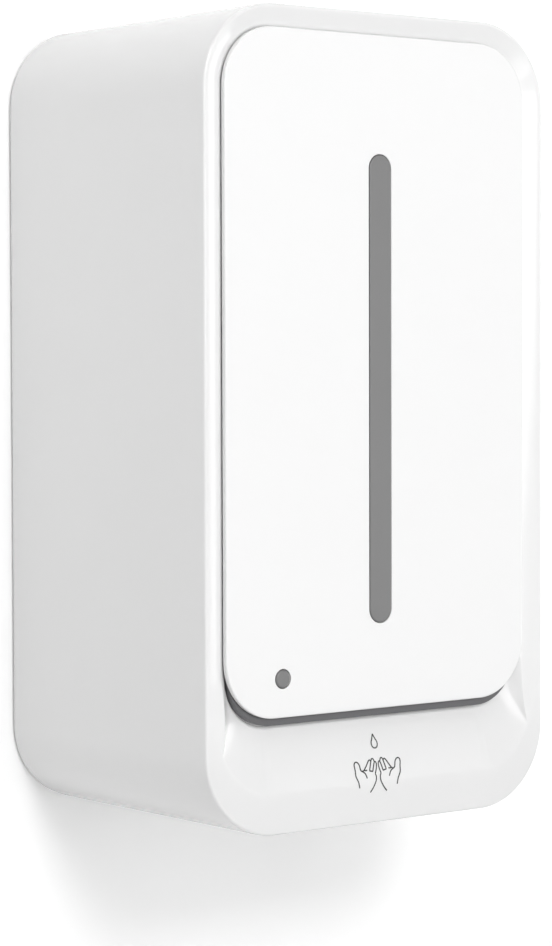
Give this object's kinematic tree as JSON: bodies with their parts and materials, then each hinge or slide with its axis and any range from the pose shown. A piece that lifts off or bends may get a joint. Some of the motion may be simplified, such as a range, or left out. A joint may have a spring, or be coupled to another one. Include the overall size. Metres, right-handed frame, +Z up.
{
  "type": "wall mounted automatic soap dispenser",
  "caption": "Tall rounded white dispenser for a wall, with a floating front panel, a narrow level window, a scooped lip below it, and a cover that turns down over a tank and a roller pump.",
  "frame": {"origin": "middle of the wall plate's back face, on the wall, half-way up the cover and half-way across it", "axes": "+Z up the wall, +Y into the wall, so the front faces -Y; +X to the right as seen by someone facing the dispenser"},
  "size_m": [0.136, 0.105, 0.25],
  "materials": {
    "white_gloss": "glossy injection-moulded white",
    "carrier_grey": "satin mid-grey moulding behind the front panel",
    "smoke_window": "polished smoked grey plastic",
    "chassis_white": "fine satin moulding",
    "grey_plastic": "satin dark grey moulding",
    "black_plastic": "satin black",
    "tank_plastic": "translucent milky plastic",
    "dark_window": "polished infrared-pass plastic, nearly black",
    "acetal": "waxy natural acetal",
    "silicone": "translucent silicone, slightly dusty",
    "seal_rubber": "matte black seal rubber",
    "plated_steel": "zinc-plated steel",
    "brass": "machined brass",
    "board_green": "solder-masked board",
    "cell_sleeve": "printed-film sleeve without lettering"
  },
  "bodies": {
    "chassis": {"wall_plate": "chassis_white", "module_case": "chassis_white", "module_front": "chassis_white", "tank_top": "chassis_white", "bottom_tray": "grey_plastic", "pump_housing": "grey_plastic", "battery_box": "black_plastic", "power_switch": "black_plastic", "sensor_emitter": "black_plastic", "sensor_receiver": "black_plastic", "tank_body": "tank_plastic", "pump_lid": "tank_plastic", "indicator_led": "tank_plastic", "sensor_window": "dark_window", "outlet_fitting": "acetal", "nozzle": "acetal", "pump_hose": "silicone", "nozzle_valve": "silicone", "tank_seal": "seal_rubber", "outlet_o_ring": "seal_rubber", "hinge_pin_left": "plated_steel", "hinge_pin_right": "plated_steel", "lock_keeper": "plated_steel", "keeper_screw_upper": "plated_steel", "keeper_screw_lower": "plated_steel", "gear_plate": "plated_steel", "motor": "plated_steel", "pump_screw_1": "plated_steel", "pump_screw_2": "plated_steel", "module_screw_1": "plated_steel", "module_screw_2": "plated_steel", "module_screw_3": "plated_steel", "module_screw_4": "plated_steel", "contact_bridge_upper": "plated_steel", "contact_bridge_lower": "plated_steel", "control_board": "board_green", "battery_1": "cell_sleeve", "battery_2": "cell_sleeve", "battery_3": "cell_sleeve", "battery_4": "cell_sleeve"},
    "cover": {"cover_shell": "white_gloss", "front_panel": "white_gloss", "panel_carrier": "carrier_grey", "level_window": "smoke_window", "indicator_lens": "smoke_window", "lock_barrel": "plated_steel", "lock_nut": "plated_steel"},
    "lock": {"lock_plug": "brass", "lock_cam": "plated_steel", "cam_screw": "plated_steel"},
    "lid": {"fill_lid": "chassis_white", "lid_gasket": "seal_rubber"},
    "door": {"battery_door": "chassis_white"},
    "knob": {"switch_knob": "black_plastic"},
    "rotor": {"pump_rotor": "acetal", "drive_gear": "acetal"},
    "roller_a": {"pump_roller_1": "acetal"},
    "roller_b": {"pump_roller_2": "acetal"},
    "roller_c": {"pump_roller_3": "acetal"},
    "pinion": {"motor_pinion": "brass"}
  },
  "joints": [
    {"name": "cover_hinge", "type": "hinge", "parent": "chassis", "child": "cover", "pos_m": [0, -0.011, -0.116], "axis": [1, 0, 0], "range_deg": [0, 75]},
    {"name": "lock_turn", "type": "hinge", "parent": "cover", "child": "lock", "pos_m": [0, -0.024, 0.115], "axis": [0, 0, -1], "range_deg": [0, 90]},
    {"name": "fill_lid_hinge", "type": "hinge", "parent": "chassis", "child": "lid", "pos_m": [0, -0.052, 0.0846], "axis": [-1, 0, 0], "range_deg": [0, 100]},
    {"name": "battery_door_slide", "type": "slide", "parent": "chassis", "child": "door", "axis": [0, 0, 1], "range_m": [0, 0.036]},
    {"name": "power_switch_slide", "type": "slide", "parent": "chassis", "child": "knob", "axis": [1, 0, 0], "range_m": [0, 0.0035]},
    {"name": "pump_rotor_spin", "type": "hinge", "parent": "chassis", "child": "rotor", "pos_m": [-0.027, -0.078, -0.085], "axis": [0, 1, 0], "continuous": true},
    {"name": "roller_a_spin", "type": "hinge", "parent": "rotor", "child": "roller_a", "pos_m": [-0.027, -0.08, -0.073], "axis": [0, 1, 0], "continuous": true},
    {"name": "roller_b_spin", "type": "hinge", "parent": "rotor", "child": "roller_b", "pos_m": [-0.03739, -0.08, -0.091], "axis": [0, 1, 0], "continuous": true},
    {"name": "roller_c_spin", "type": "hinge", "parent": "rotor", "child": "roller_c", "pos_m": [-0.01661, -0.08, -0.091], "axis": [0, 1, 0], "continuous": true},
    {"name": "motor_pinion_spin", "type": "hinge", "parent": "chassis", "child": "pinion", "pos_m": [-0.0061, -0.067, -0.085], "axis": [0, 1, 0], "continuous": true}
  ],
  "couplings": [
    {"joint": "motor_pinion_spin", "follows": "pump_rotor_spin", "ratio": -3.3333},
    {"joint": "roller_a_spin", "follows": "pump_rotor_spin", "ratio": -4},
    {"joint": "roller_b_spin", "follows": "pump_rotor_spin", "ratio": -4},
    {"joint": "roller_c_spin", "follows": "pump_rotor_spin", "ratio": -4}
  ]
}
